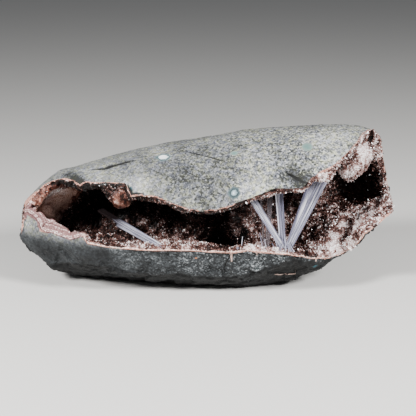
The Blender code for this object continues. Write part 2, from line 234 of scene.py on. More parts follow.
# Where the crust is smooth, tan and kidney-shaped instead of set with crystals: middle, reach.
KIDNEYS = (
    ((-98.6, 14.3, 39.5), 10),
    ((-91.3, 12.1, 47.1), 11),
    ((-104.8, 6, 44.1), 10),
    ((-102, -8, 54), 8),
    ((-92, -9, 60), 8),
    ((-82, 10, 56), 8),
    ((-86, 17, 53), 9),
    ((-97.9, -6, 57), 9),
    ((-51.3, -23.1, 52.6), 7),
    ((-49.5, -30, 58.4), 6),
)
# The wide broken edge of the left chamber: its course and reach.
LEDGE = (((-107, -12, 46), (-95.8, -27.3, 43), (-86, -35.5, 40.5), (-76, -38, 38)), 6)

# Scolecite bundles: foot, head, width at each end, thickness and how many blades.
SPRAY = (
    ((45.6, -40.7, 30.5), (21.4, -32.5, 68.2), 3.4, 4.4, 2.2, 7),
    ((45.4, -38.7, 30.5), (41.5, -29.6, 79), 3.4, 5.6, 2.4, 7),
    ((47.8, -39.7, 30), (64.9, -29.5, 77), 3, 4.6, 2.2, 5),
    ((48.3, -40.7, 30), (74.4, -27.5, 81), 3.4, 6.8, 2.4, 10),
    ((45, -39.7, 29), (40.5, -37.7, 38), 2.4, 1.2, 1.4, 3),
)
LEFT_BLADE = (
    ((-25, -46.3, 32.6), (-65.5, 3.3, 42.6), 2.8, 4.2, 2, 7),
    ((-25.6, -45.9, 32), (-53, -11.7, 38), 2.4, 4.6, 1.5, 5),
)
BACK_PAIR = (
    ((35, -24.7, 24), (32.4, -16.7, 66.5), 1.4, 1.2, 1, 2),
    ((36.6, -24.7, 24), (39.4, -14.7, 72.5), 2.4, 3.4, 1.4, 3),
)
SHADOW_BLADE = (((19.6, -8.7, 20), (24.4, -5.7, 35), 3.4, 4, 2, 4),)
# How the blades of a bundle differ: shares of their thickness by which they lie in or out, how
# far their heads stand back or forward, and shares of width, thickness and slant of the head.
DEEPS, HEAD_SHIFTS = (-0.18, 0.18), (-1.2, 0.8)
FOOT_SHARE, HEAD_SHARES, THICKNESSES, TIPS = 1.05, (0.84, 1.1), (0.7, 1.0), (0.3, 1.0)
BROAD_FACE, NARROW_EDGE = 0.38, 0.22  # half widths of a blade's faces, as shares of its own
# Loose needles: foot, head and width.
NEEDLES = (
    ((42.4, -47, 30.6), (45.4, -43, 36), 0.6),
    ((43.6, -47.4, 30.6), (44.6, -43.2, 34.6), 0.5),
    ((50.2, -46, 30.2), (47.4, -42.6, 35.4), 0.6),
    ((51.6, -45.6, 30), (48.4, -42.2, 34), 0.5),
    ((46.4, -47.4, 30.6), (46.8, -42.8, 36.8), 0.6),
    ((48.4, -46.8, 30.4), (47.6, -42.8, 35.6), 0.5),
    ((41.5, -46.1, 30.6), (38.6, -42.6, 34.4), 0.45),
    ((42.3, -42.3, 30.4), (39.8, -39.8, 38.6), 0.5),
    ((43.6, -41.3, 30.2), (42.6, -39.4, 39.6), 0.4),
    ((33.2, -46.1, 31.4), (31.4, -43, 41), 0.45),
    ((35.6, -45, 31), (34, -42.4, 37), 0.4),
    ((20.6, -46, 31.6), (21.4, -43, 38.6), 0.5),
    ((62.5, -31, 76.5), (66, -30.6, 72.5), 0.6),
    ((101.4, 42.5, 58.4), (104, 41.4, 55.2), 1.1),
)
# Small white balls of scolecite on the crust: place and width.
BALLS = (
    ((-82.3, 20.7, 41.2), 1.3),
    ((-76.9, 24.1, 43.6), 0.9),
    ((-87.1, 21.1, 28), 1.1),
    ((-41.2, 32.8, 40.8), 0.8),
    ((-35.7, 21.4, 27.9), 0.7),
    ((18.6, -46.2, 31.8), 1.7),
    ((34.3, -47, 31.6), 1),
    ((55, -43.8, 28.4), 0.9),
    ((101.1, 2.3, 88.6), 1.2),
    ((-62, -25, 54), 0.8),
)

# Colours by their place on a scale, as sRGB hex values.
PALE_ROCK = (
    (0.16, "#323332"), (0.36, "#66686b"), (0.5, "#8a8c8e"),
    (0.66, "#a9aaa7"), (0.86, "#deded8"),
)
FRESH_ROCK = (
    (0.1, "#08090a"), (0.33, "#1b1d1f"), (0.5, "#2d3032"),
    (0.66, "#484c4f"), (0.86, "#94989a"),
)
ROCK_CASTS = ((0.36, "#c8cad8"), (0.5, "#d6d6d2"), (0.64, "#d2d2b6"))
DRUSE = (
    (0, "#080403"), (0.25, "#271410"), (0.5, "#5f3f38"),
    (0.75, "#bb9891"), (0.95, "#fffcfc"),
)
KIDNEY = (
    (0, "#140907"), (0.25, "#45231b"), (0.5, "#784b3e"),
    (0.75, "#ab7d6e"), (1, "#e8c8ba"),
)
BANDS = (
    (0.34, "#54393a"), (0.43, "#8b6765"), (0.5, "#735352"),
    (0.58, "#a58480"), (0.7, "#ecdad6"),
)
LIP = ((0.3, "#966354"), (0.45, "#dba896"), (0.6, "#f5d6ca"), (0.75, "#fffaf7"))
STAINS = {
    "calcite": (
        (0, "#fdfefd"), (0.5, "#f0f4f3"), (0.6, "#a4b8bc"),
        (0.72, "#35494d"), (0.95, "#6d7c7d"),
    ),
    # The whitest middle of the ring is a painted glint.
    "ring": (
        (0, "#e3f0f4"), (0.2, "#9fb4ba"), (0.4, "#7b9096"),
        (0.55, "#1a282b"), (0.8, "#4b5a5d"),
    ),
    "celadonite": ((0, "#587874"), (0.6, "#6c837d"), (1, "#858f8a")),
    "green_skin": ((0, "#2c7484"), (0.6, "#25525c"), (1, "#2f4146")),
    "rust": ((0, "#f2a878"), (0.6, "#a05a3a"), (1, "#4a4440")),
    "lining": ((0, "#dfe6e6"), (0.5, "#8f9c9e"), (1, "#3c4446")),
}
MILKY = ((0.2, "#454555"), (0.4, "#77768a"), (0.55, "#a2a1b6"), (0.74, "#faf9ff"))
CLEAR = ((0.2, "#8d7f84"), (0.5, "#c6bcc2"), (0.8, "#f0eaf0"))
# Noise in the materials; each scale is swells per millimetre.
CLOUD = ("Scale", "Detail", "Roughness")
BASALT_CLOUDS = ((1.5, 2, 0.7), (0.4, 2, 0.5), (1.1, 4, 0.75))
CRUST_CLOUDS = ((0.16, 2, 0.5), (0.5, 2, 0.5), (1.6, 3, 0.7), (1.2, 3, 0.5), (0.5, 4, 0.7))
TIMES_PLUS = {"operation": "MULTIPLY_ADD"}
COLOURS = {"output": 2, "data_type": "RGBA"}  # of a mix
PALEST = 0.84  # cap on the heulandite's tone, before each crystal is made its own

# Relief and shades in layers of noise: weight, size of the swells and place in the noise.
SKIN_RELIEF = ((0.6, 26, 3.1), (0.32, 8, 1.7), (0.16, 2.8, 5.2), (0.1, 1.5, 6.6))
BREAK_CHIPS = ((1.9, 13, 2.2), (0.8, 5, 6.1))
BREAK_GRAIN = ((0.3, 2, 0.4),)
CRUMBLED_LIP = ((0.6, 2.2, 8.8),)
ROCK_CLOUDS = ((0.16, 26, 4.4), (0.12, 9, 7.4))
CRUST_LUMPS = ((0.9, 6.5, 3), (0.6, 3, 2), (0.3, 1.3, 7))
KNOBS = ((3.4, 8), (1.5, 3.6))  # of the kidney-shaped crust: weight and width

# Lengths and shares of the rock and the crust.
ROCK_GRID = 1.05
BURIED = 3.5  # rock under the crust that is farther in than this is never seen
HIDDEN_SHARE = 0.62  # share of its triangles that is kept
MARK_REACH = 1.7  # so near to cracks, vesicles and veins the rock is cut finer
TOUCHING = 0.6  # crust that is nearer to the rock than this lies against it
SUNK = 0.6  # and is set so far into it
STANDING = 0.8  # the rest stands at least so far over it
SET_BACK = 3.5  # most that the crust's front lies behind the lip
# Ranges over which one thing passes into another.
OPEN_ROCK = (0.45, 1.4)  # away from the crust: the rock's relief sets in
WORN = (0.6, 4.0)  # away from the crust: the rock is rounded by weather
HACKLY_UNDER = (28, 38)  # over the base: the rock is rough below
FRESH_UNDER = (30, 39)  # over the base: the rock is dark below
FOOT = (0.2, 2.5)  # over the base: the flat face stays flat
LEDGE_DEEP = (3.0, 5.0)  # in from the outline: the ledge ends
SHADED_BLADE_ENDS = (-19.0, -10.0)  # along Y: the blades are painted dark as shade deep in the hollow

MIDDLE_TONE = 0.5  # the rock's, before its places are counted
CRUST_TONE = -1.02  # and the heulandite's
CRYSTAL_SPACING = 0.51  # least distance between two crystals
CRYSTALS_TRIED = 6e6  # on a square metre of crust, before the spacing thins them
CRYSTAL_TILT = (0.6, 0.6, 3.14)  # most that a crystal leans each way and turns, in radians
CRYSTAL_SIZES = (0.6, 1.4)  # times the size that its place gives it
# Crystals: sides, radius at the foot and head, height, stretch and slant of the top.
CRYSTALS = (
    (4, 0.40, 0.0, 1.15, (0.8, 1.2, 1.0), 0.0),
    (3, 0.42, 0.20, 0.95, (0.9, 1.2, 1.0), 0.22),
    (4, 0.44, 0.0, 0.85, (1.0, 0.8, 1.0), 0.0),
)
# Stretches of the druse: their ends along X and their seed.
DRUSES = (
    ("druse_left_chamber", -200, -45, 3),
    ("druse_long_hollow", -45, 18, 13),
    ("druse_behind_spray", 18, 60, 23),
    ("druse_open_end", 60, 200, 33),
)

LAMPS = (("left_light", (-551, -551, 495), 15.5), ("right_light", (551, -551, 495), 15))
LAMP_AIM, LAMP_SIZE = (0, 0, 45), 180
CAMERA_AIM, CAMERA_RISE, CAMERA_AWAY = (1.2, -0.7, 45.2), 14, 782


# ---------------- choosing and shaping


def choose(*pieces):
    """Selects the pieces alone, the first of them active."""
    if bpy.context.mode != "OBJECT":
        bpy.ops.object.mode_set(mode="OBJECT")
    bpy.ops.object.select_all(action="DESELECT")
    for piece in pieces:
        piece.select_set(True)
    bpy.context.view_layer.objects.active = pieces[0]


def apply_modifiers(piece):
    choose(piece)
    for modifier in list(piece.modifiers):
        bpy.ops.object.modifier_apply(modifier=modifier.name)


def own_copy(source, name):
    """A copy of an object under its own name, free of what was noted on it."""
    choose(source)
    bpy.ops.object.duplicate()
    piece = bpy.context.object
    piece.name = piece.data.name = name
    piece.parent = None
    for key in list(piece.keys()):
        del piece[key]
    return piece


def merged_copy(node, name):
    """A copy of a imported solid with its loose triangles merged."""
    piece = own_copy(frame["nodes"][node], name)
    bpy.ops.object.mode_set(mode="EDIT")
    bpy.ops.mesh.select_all(action="SELECT")
    bpy.ops.mesh.remove_doubles(threshold=0.01 * MM)
    bpy.ops.object.mode_set(mode="OBJECT")
    return piece


def joined(pieces, name):
    choose(*pieces)
    bpy.ops.object.join()
    piece = bpy.context.object
    piece.name = piece.data.name = name
    return piece


def finished(piece, material, node):
    """Gives a piece its material and its body, and hides the solid that it stands for."""
    piece.data.materials.clear()
    piece.data.materials.append(material)
    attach(piece, "root")
    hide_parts(node)


def rows_of(piece, kind):
    """The places or the normals of a piece's vertices."""
    rows = np.empty(len(piece.data.vertices) * 3, np.float32)
    piece.data.vertices.foreach_get(kind, rows)
    return rows.reshape(-1, 3).astype(float)


def points_of(piece):
    """A piece's vertices, in millimetres."""
    return rows_of(piece, "co") / MM


def move_points(piece, points):
    piece.data.vertices.foreach_set("co", (points * MM).astype(np.float32).ravel())
    piece.data.update()


def note(piece, **noted):
    """Writes values for each vertex, which the materials and the crystals read by name."""
    for name, values in noted.items():
        attribute = piece.data.attributes.new(name, "FLOAT", "POINT")
        attribute.data.foreach_set("value", np.asarray(values, np.float32))


def weights(piece, name, values):
    group = piece.vertex_groups.new(name=name)
    for i, value in enumerate(values):
        group.add([i], float(value), "REPLACE")
    return name


def smoothed(piece, name, values, times):
    """Evens a piece out where the values are high."""
    smoothing = piece.modifiers.new(name, "SMOOTH")
    smoothing.vertex_group = weights(piece, name, values)
    smoothing.factor = 0.5
    smoothing.iterations = times
    apply_modifiers(piece)


def smoothstep(low, high, values):
    share = np.clip((values - low) / (high - low), 0, 1)
    return share * share * (3 - 2 * share)


def swell(points, size, place):
    """Smooth noise of about -1 to 1 at each point, its swells of the given size."""
    shift = Vector((place, place, place))
    return np.array([noise.noise(Vector(p) / size + shift) for p in points])


def chips(points, size, place):
    """The rise of a hackly break: each cell of rock has a face tilted its own way."""
    shift = Vector((place, place, place))
    rises = []
    for p in points:
        scaled = Vector(p) / size + shift
        seed = noise.voronoi(scaled)[1][0]
        tilt = noise.cell_vector(seed) * 2 - Vector((1, 1, 1))
        rises.append((scaled - seed).dot(tilt))
    return np.array(rises)


def domes(points, size):
    """The rise of round lumps that touch each other, as on a kidney-shaped crust."""
    away = np.array([noise.voronoi(Vector(p) / size)[0][0] for p in points])
    return np.sqrt(np.clip(0.55 - away * away, 0, None))


def layered(points, layers, kind=swell):
    """The sum of layers of noise."""
    return sum(weight * kind(points, size, place) for weight, size, place in layers)


def to_line(points, line):
    """Each point's distance from a course of straight runs, and how far along it that is."""
    nearest = np.full(len(points), np.inf)
    along = np.zeros(len(points))
    for i, (start, end) in enumerate(zip(line, line[1:])):
        start, run = np.array(start, float), np.array(end, float) - np.array(start, float)
        share = np.clip((points - start) @ run / max(run @ run, 1e-9), 0, 1)
        away = np.linalg.norm(points - start - share[:, None] * run, axis=1)
        along = np.where(away < nearest, (i + share) / (len(line) - 1), along)
        nearest = np.minimum(nearest, away)
    return nearest, along


def gathered(points, table):
    """The sum of a table's rows at each point: each fades with the distance from its middle."""
    total = np.zeros(len(points))
    for middle, reach, change in table:
        away = np.linalg.norm(points - np.array(middle), axis=1) / reach
        total += change * np.exp(-away * away)
    return total


def skin_tree(piece, hull=False):
    """A search tree over a piece's faces, or over those of its convex hull, in millimetres."""
    bm = bmesh.new()
    bm.from_mesh(piece.data)
    bmesh.ops.scale(bm, vec=(1 / MM,) * 3, verts=bm.verts)
    if hull:
        made = bmesh.ops.convex_hull(bm, input=bm.verts)
        inside = [v for v in made["geom_interior"] if isinstance(v, bmesh.types.BMVert)]
        bmesh.ops.delete(bm, geom=inside, context="VERTS")
        kept = {f for f in made["geom"] if isinstance(f, bmesh.types.BMFace)}
        bmesh.ops.delete(bm, geom=[f for f in bm.faces if f not in kept], context="FACES")
        bmesh.ops.recalc_face_normals(bm, faces=bm.faces)
    tree = BVHTree.FromBMesh(bm)
    bm.free()
    return tree


def nearest_on(tree, points):
    """For each point the nearest place on a skin and the distance to it."""
    found = [tree.find_nearest(Vector(p)) for p in points]
    return np.array([f[0] for f in found]), np.array([f[3] for f in found])


def lifted(tree, points, chosen, least):
    """The points, the chosen of them moved out of a solid until they stand so far over it."""
    moved = points.copy()
    for i in np.flatnonzero(chosen):
        place, normal, _, _ = tree.find_nearest(Vector(points[i]))
        over = (Vector(points[i]) - place).dot(normal)
        if over < least:
            moved[i] += np.array(normal) * (least - over)
    return moved


def on_skin(tree, line, step=0.8):
    """A course laid on a skin: a point every step or so, each moved to the nearest place."""
    course = []
    for start, end in zip(line, line[1:]):
        start, end = Vector(start), Vector(end)
        count = max(1, round((end - start).length / step))
        course += [start.lerp(end, i / count) for i in range(count)]
    course.append(Vector(line[-1]))
    return [tuple(tree.find_nearest(p)[0]) for p in course]


# ---------------- materials' helpers


def paint(code):
    """A linear colour from an sRGB hex value."""
    parts = [int(code[i : i + 2], 16) / 255 for i in (1, 3, 5)]
    return (*[p / 12.92 if p <= 0.04045 else ((p + 0.055) / 1.055) ** 2.4 for p in parts], 1.0)


def feed(tree, node, inputs):
    """Fills a node's inputs, each with a value or with the output that feeds it."""
    for name, value in inputs.items():
        if isinstance(value, bpy.types.NodeSocket):
            tree.links.new(value, node.inputs[name])
        else:
            node.inputs[name].default_value = value


def add(tree, kind, inputs, output=0, stops=(), **settings):
    """Adds a node with its settings and links, and gives the output that is asked for. Stops
    are a ramp's places and sRGB hex values."""
    node = tree.nodes.new(kind)
    for name, value in settings.items():
        setattr(node, name, value)
    feed(tree, node, inputs)
    if stops:
        elements = node.color_ramp.elements
        while len(elements) > 1:
            elements.remove(elements[-1])
        elements[0].position, elements[0].color = stops[0][0], paint(stops[0][1])
        for place, code in stops[1:]:
            elements.new(place).color = paint(code)
    return node.outputs[output]


def blank_material(name):
    """A new material, its nodes and its shader, and the place on the piece in millimetres."""
    material = bpy.data.materials.new(name)
    material.use_nodes = True
    tree = material.node_tree
    place = add(tree, "ShaderNodeTexCoord", {}, "Object")
    place = add(tree, "ShaderNodeVectorMath", {0: place, "Scale": 1 / MM}, operation="SCALE")
    return material, tree, tree.nodes["Principled BSDF"], place


# ---------------- the materials


def weathered_basalt():
    """Fine-grained basalt: matt, pale grey and peppered where it weathered, dark and hackly
    where it broke."""
    material, tree, shader, place = blank_material("weathered_basalt")
    tone, pepper, fresh, vein, crack = [
        add(tree, "ShaderNodeAttribute", {}, "Fac", attribute_name=name)
        for name in ("tone", "pepper", "fresh", "vein", "crack")
    ]
    # Feldspar and pyroxene grains of 0.2 mm are drawn at 1 mm, or they would not show.
    speck = add(tree, "ShaderNodeTexVoronoi", {"Vector": place, "Scale": 1.0}, "Color")
    speck = add(tree, "ShaderNodeSeparateColor", {"Color": speck})
    fine, tint, rough = [
        add(tree, "ShaderNodeTexNoise", {"Vector": place, **dict(zip(CLOUD, cloud))})
        for cloud in BASALT_CLOUDS
    ]
    value = add(tree, "ShaderNodeMath", {0: fine, 1: 0.9, 2: -0.7}, **TIMES_PLUS)
    value = add(tree, "ShaderNodeMath", {0: speck, 1: 0.5, 2: value}, **TIMES_PLUS)
    value = add(tree, "ShaderNodeMath", {0: value, 1: pepper, 2: tone}, **TIMES_PLUS)
    pale, dark, cast = [
        add(tree, "ShaderNodeValToRGB", {"Fac": of}, stops=stops)
        for of, stops in ((value, PALE_ROCK), (value, FRESH_ROCK), (tint, ROCK_CASTS))
    ]
    colour = {"Factor": 0.9, 6: pale, 7: cast}
    colour = add(tree, "ShaderNodeMix", colour, blend_type="MULTIPLY", **COLOURS)
    colour = add(tree, "ShaderNodeMix", {"Factor": fresh, 6: colour, 7: dark}, **COLOURS)
    for spot in SPOTS:
        colour = stained(tree, place, colour, tint, *spot)
    # Painted shade: the cracks and open vesicles are filled with near-black; the veins keep their
    # own pale colour.
    for cover, filling in ((vein, paint("#d9b8ab")), (crack, paint("#161615"))):
        colour = add(tree, "ShaderNodeMix", {"Factor": cover, 6: colour, 7: filling}, **COLOURS)

    height = add(tree, "ShaderNodeMath", {0: speck, 1: 0.35, 2: rough}, **TIMES_PLUS)
    grit = {"Height": height, "Strength": 0.7, "Distance": 0.7 * MM}
    grit = add(tree, "ShaderNodeBump", grit)
    look = {"Base Color": colour, "Normal": grit, "Roughness": 0.8, "Specular IOR Level": 0.35}
    feed(tree, shader, look)
    return material


def stained(tree, place, colour, ragged, middle, wide, high, turn, kind):
    """Lays one amygdule or stain over a colour; its edge is ragged."""
    laid = {
        "Vector": place,
        "Location": middle,
        "Rotation": (0, math.radians(turn), 0),
        "Scale": (wide, high * 1.6, high),
    }
    laid = add(tree, "ShaderNodeMapping", laid, vector_type="TEXTURE")
    away = add(tree, "ShaderNodeVectorMath", {0: laid}, "Value", operation="LENGTH")
    ragged = add(tree, "ShaderNodeMath", {0: ragged, 1: 0.7, 2: -0.35}, **TIMES_PLUS)
    away = add(tree, "ShaderNodeMath", {0: away, 1: ragged})
    cover = {"Value": away, "From Min": 0.85, "From Max": 1.1, "To Min": 1.0, "To Max": 0.0}
    cover = add(tree, "ShaderNodeMapRange", cover)
    stain = add(tree, "ShaderNodeValToRGB", {"Fac": away}, stops=STAINS[kind])
    return add(tree, "ShaderNodeMix", {"Factor": cover, 6: colour, 7: stain}, **COLOURS)


def heulandite(name, crystals):
    """Heulandite: glassy and brown, painted darker deep in the hollow as shade, pink-white at the
    lips. The crystals differ from each other; the crust under them is banded where it broke."""
    material, tree, shader, place = blank_material(name)
    pale, tan, layer, reach, inside, deep_edge, lip_tint, dull = [
        add(tree, "ShaderNodeAttribute", {}, "Fac", attribute_name=noted)
        for noted in ("pale", "tan", "layer", "reach", "inside", "deep_edge", "lip_tint", "dull")
    ]
    wide, middling, fine, torn, ragged = [
        add(tree, "ShaderNodeTexNoise", {"Vector": place, **dict(zip(CLOUD, cloud))})
        for cloud in CRUST_CLOUDS
    ]
    tone = add(tree, "ShaderNodeMath", {0: wide, 1: 1.7, 2: pale}, **TIMES_PLUS)
    tone = add(tree, "ShaderNodeMath", {0: middling, 1: tone})
    # However pale a place is, its crystals still differ.
    tone = add(tree, "ShaderNodeMath", {0: tone, 1: PALEST}, operation="MINIMUM")
    tone = add(tree, "ShaderNodeMath", {0: tone, 1: -0.7})
    tone = add(tree, "ShaderNodeMath", {0: fine, 1: 1.4, 2: tone}, **TIMES_PLUS)
    if crystals:
        own = add(tree, "ShaderNodeAttribute", {}, "Fac", attribute_name="shade")
        own = add(tree, "ShaderNodeMath", {0: own, 1: 4.0}, operation="POWER")
        tone = add(tree, "ShaderNodeMath", {0: own, 1: 0.68, 2: tone}, **TIMES_PLUS)
    # The crust grew in layers, which show where it broke.
    layers = {"Scale": 1.1, "Detail": 1, "W": layer}
    layers = add(tree, "ShaderNodeTexNoise", layers, noise_dimensions="1D")
    bands = add(tree, "ShaderNodeMath", {0: layers, 1: 0.8, 2: -0.3}, **TIMES_PLUS)
    bands = add(tree, "ShaderNodeMath", {0: torn, 1: 0.8, 2: bands}, **TIMES_PLUS)
    druse, knobs, banded, lip = [
        add(tree, "ShaderNodeValToRGB", {"Fac": of}, stops=stops)
        for of, stops in ((tone, DRUSE), (tone, KIDNEY), (bands, BANDS), (bands, LIP))
    ]
    # The broken edge reaches only so far from the rock, and is ragged.
    left = add(tree, "ShaderNodeMath", {0: layer, 1: -1.0, 2: reach}, **TIMES_PLUS)
    left = add(tree, "ShaderNodeMath", {0: ragged, 1: 3.0, 2: left}, **TIMES_PLUS)
    edge = add(tree, "ShaderNodeMapRange", {"Value": left, "From Min": 1.4, "From Max": 1.6})
    front = {"Value": inside, "From Min": 0.9, "From Max": 1.6, "To Min": 1.0, "To Max": deep_edge}
    front = add(tree, "ShaderNodeMapRange", front)
    edge = add(tree, "ShaderNodeMath", {0: edge, 1: front}, operation="MULTIPLY")
    colour = add(tree, "ShaderNodeMix", {"Factor": tan, 6: druse, 7: knobs}, **COLOURS)
    broken = add(tree, "ShaderNodeMix", {"Factor": lip_tint, 6: banded, 7: lip}, **COLOURS)
    colour = add(tree, "ShaderNodeMix", {"Factor": edge, 6: colour, 7: broken}, **COLOURS)
    # Where the crust is painted dark as shade, deep in the pockets, the faces hardly shine, so
    # that the painted shade stays dark.
    gloss = 0.58 if crystals else 0.24
    gloss = add(tree, "ShaderNodeMath", {0: dull, 1: -0.9 * gloss, 2: gloss}, **TIMES_PLUS)
    rough = 0.12 if crystals else 0.5
    look = {"Base Color": colour, "Roughness": rough, "Specular IOR Level": gloss, "IOR": 1.5}
    feed(tree, shader, look)
    return material


def scolecite_glass(name, stops, clearness):
    """Scolecite: clear to milky blades with a faint violet cast, striated along their length."""
    material, tree, shader, place = blank_material(name)
    along = add(tree, "ShaderNodeUVMap", {}, uv_map="length")
    # The striations are drawn about 0.7 mm apart, or they would not show.
    grooves = add(tree, "ShaderNodeMapping", {"Vector": along, "Scale": (1.4, 0.02, 1.0)})
    grooves = {"Vector": grooves, "Scale": 1.0, "Detail": 3, "Roughness": 0.65}
    grooves = add(tree, "ShaderNodeTexNoise", grooves)
    veils = add(tree, "ShaderNodeMapping", {"Vector": along, "Scale": (0.8, 0.12, 1.0)})
    veils = {"Vector": veils, "Scale": 1.0, "Detail": 2, "Roughness": 0.5}
    veils = add(tree, "ShaderNodeTexNoise", veils)
    value = add(tree, "ShaderNodeMath", {0: grooves, 1: 1.7, 2: -0.52}, **TIMES_PLUS)
    value = add(tree, "ShaderNodeMath", {0: veils, 1: 0.35, 2: value}, **TIMES_PLUS)
    # The ends that lie deep in the hollow are painted dark as shade.
    depth = add(tree, "ShaderNodeSeparateXYZ", {0: place}, "Y")
    depth = {"Value": depth, "From Min": SHADED_BLADE_ENDS[0], "From Max": SHADED_BLADE_ENDS[1]}
    depth = add(tree, "ShaderNodeMapRange", depth)
    blade = add(tree, "ShaderNodeValToRGB", {"Fac": value}, stops=stops)
    colour = {"Factor": depth, 6: blade, 7: paint("#1f191a")}
    colour = add(tree, "ShaderNodeMix", colour, **COLOURS)
    ridges = {"Height": grooves, "Strength": 0.8, "Distance": 0.3 * MM}
    ridges = add(tree, "ShaderNodeBump", ridges)
    look = {"Base Color": colour, "Normal": ridges, "Roughness": 0.2, "IOR": 1.52}
    feed(tree, shader, {**look, "Transmission Weight": clearness})
    return material


# ---------------- the rock


def on_breaks(points):
    """1 on a flat break of the nodule and 0 on its weathered skin."""
    nearest = np.full(len(points), np.inf)
    for point, normal in BREAKS:
        normal = np.array(normal, float) / np.linalg.norm(normal)
        nearest = np.minimum(nearest, np.abs((points - np.array(point, float)) @ normal))
    return 1 - smoothstep(0.5, 1.6, nearest)


def refine(piece, courses, reach):
    """Cuts the faces near the given courses finer."""
    points = points_of(piece)
    close = np.full(len(points), False)
    for course in courses:
        close |= to_line(points, course)[0] < reach
    choose(piece)
    bpy.ops.object.mode_set(mode="EDIT")
    bpy.ops.mesh.select_all(action="DESELECT")
    bpy.ops.object.mode_set(mode="OBJECT")
    piece.data.vertices.foreach_set("select", close)
    for edge in piece.data.edges:
        edge.select = bool(close[edge.vertices[0]] and close[edge.vertices[1]])
    for face in piece.data.polygons:
        face.select = all(close[i] for i in face.vertices)
    bpy.ops.object.mode_set(mode="EDIT")
    bpy.ops.mesh.select_mode(type="FACE")
    bpy.ops.mesh.subdivide(number_cuts=2)
    bpy.ops.object.mode_set(mode="OBJECT")


def even_rock(crust_tree, hull_tree):
    """The rock on an even grid, coarse where the crust hides it and rounded where it
    weathered."""
    rock = merged_copy("basalt_host", "basalt_rock")
    remesh = rock.modifiers.new("even_grid", "REMESH")
    remesh.mode = "VOXEL"
    remesh.voxel_size = ROCK_GRID * MM
    apply_modifiers(rock)
    points = points_of(rock)
    _, lip = nearest_on(crust_tree, points)
    _, inside = nearest_on(hull_tree, points)
    thin = rock.modifiers.new("thin", "DECIMATE")
    thin.vertex_group = weights(rock, "buried", (lip < TOUCHING) & (inside > BURIED))
    thin.ratio = HIDDEN_SHARE
    apply_modifiers(rock)

    points = points_of(rock)
    _, lip = nearest_on(crust_tree, points)
    smoothed(rock, "weathered", smoothstep(*WORN, lip) * (1 - 0.8 * on_breaks(points)), 28)
    return rock


def cut_marks(points, marks):
    """How deep the cracks and vesicles go at each point, and where they are painted dark as shade.
    """
    ragged = 0.16 * swell(points, 1.5, 4.0)
    sunk = np.zeros(len(points))
    dark = np.zeros(len(points))
    for course, width, depth in marks:
        away, along = to_line(points, course)
        half = 0.5 * width * (0.1 + 0.9 * np.sin(np.pi * np.clip(along, 0.03, 0.97)))
        mark = 1 - smoothstep(half * 0.5, half + 0.35, away + ragged)
        sunk = np.maximum(sunk, depth * mark)
        dark = np.maximum(dark, mark)
    return sunk, dark


def veins_on(points, veins):
    """1 on the thin veins, each narrower towards its end."""
    ragged = 0.2 * swell(points, 1.2, 9.0)
    cover = np.zeros(len(points))
    for course, wide, narrow in veins:
        away, along = to_line(points, course)
        half = 0.5 * (wide + (narrow - wide) * along)
        cover = np.maximum(cover, 1 - smoothstep(half * 0.7, half + 0.25, away + ragged))
    return cover


def basalt_rock(crust_tree, hull_tree, material):
    rock = even_rock(crust_tree, hull_tree)
    skin = skin_tree(rock)
    marks = [(on_skin(skin, line), width, depth) for line, width, depth in CRACKS + VESICLES]
    veins = [(on_skin(skin, line), wide, narrow) for line, wide, narrow in VEINS]
    refine(rock, [course for course, _, _ in marks + veins], MARK_REACH)

    points, normals = points_of(rock), rows_of(rock, "normal")
    _, lip = nearest_on(crust_tree, points)
    fresh = on_breaks(points)
    height = points[:, 2]
    outside = smoothstep(*OPEN_ROCK, lip)
    hackly = np.maximum(fresh, 0.75 * (1 - smoothstep(*HACKLY_UNDER, height)))
    rise = layered(points, SKIN_RELIEF) * (1 - hackly)
    rise += (layered(points, BREAK_CHIPS, chips) + layered(points, BREAK_GRAIN)) * hackly
    rise += (1 - smoothstep(1.2, 3.5, lip)) * layered(points, CRUMBLED_LIP)
    for line, width, depth in FLUTES:
        away = to_line(points, line)[0] / width
        rise -= depth * np.exp(-away * away)
    middle, reach, depth = SCOOP
    away = np.linalg.norm(points - np.array(middle), axis=1) / reach
    rise -= depth * np.exp(-(away**3))
    sunk, dark = cut_marks(points, marks)
    rise -= sunk
    # Where the rock is thin, it is not sunk down to the crust.
    rise = np.maximum(rise, -0.5 * lip) * outside * smoothstep(*FOOT, height)
    jitter = 0.35 * (1 - smoothstep(1.0, 3.0, lip)) * outside
    sideways = np.stack([swell(points, 2.8, s) for s in (1.1, 2.2, 3.3)], axis=1)
    moved = points + normals * rise[:, None] + sideways * jitter[:, None]
    moved[:, 2] = np.maximum(moved[:, 2], 0)
    move_points(rock, moved)

    # Painted shade: faces that look down are darker.
    tone = MIDDLE_TONE - 0.34 * smoothstep(0.55, 0.72, -normals[:, 2])
    tone += layered(points, ROCK_CLOUDS) + gathered(points, ROCK_TONES_AND_PAINTED_SHADE)
    fresh = np.maximum(fresh, 1 - smoothstep(*FRESH_UNDER, height))
    # The left end is plainer than the rest.
    pepper = 0.45 + 0.5 * smoothstep(-80, 0, points[:, 0]) + 0.3 * smoothstep(0, 60, points[:, 0])
    pepper = np.maximum(pepper, 0.7 * (1 - fresh))
    note(rock, tone=tone, fresh=fresh, pepper=pepper, crack=dark, vein=veins_on(points, veins))
    choose(rock)
    bpy.ops.object.shade_smooth()
    finished(rock, material, "basalt_host")


# ---------------- the crust


def cover_of(points, table):
    """1 in the middle of a table's places and 0 away from them."""
    cover = np.zeros(len(points))
    for middle, reach in table:
        away = np.linalg.norm(points - np.array(middle), axis=1) / reach
        cover = np.maximum(cover, 1 - smoothstep(0.6, 1.15, away))
    return cover


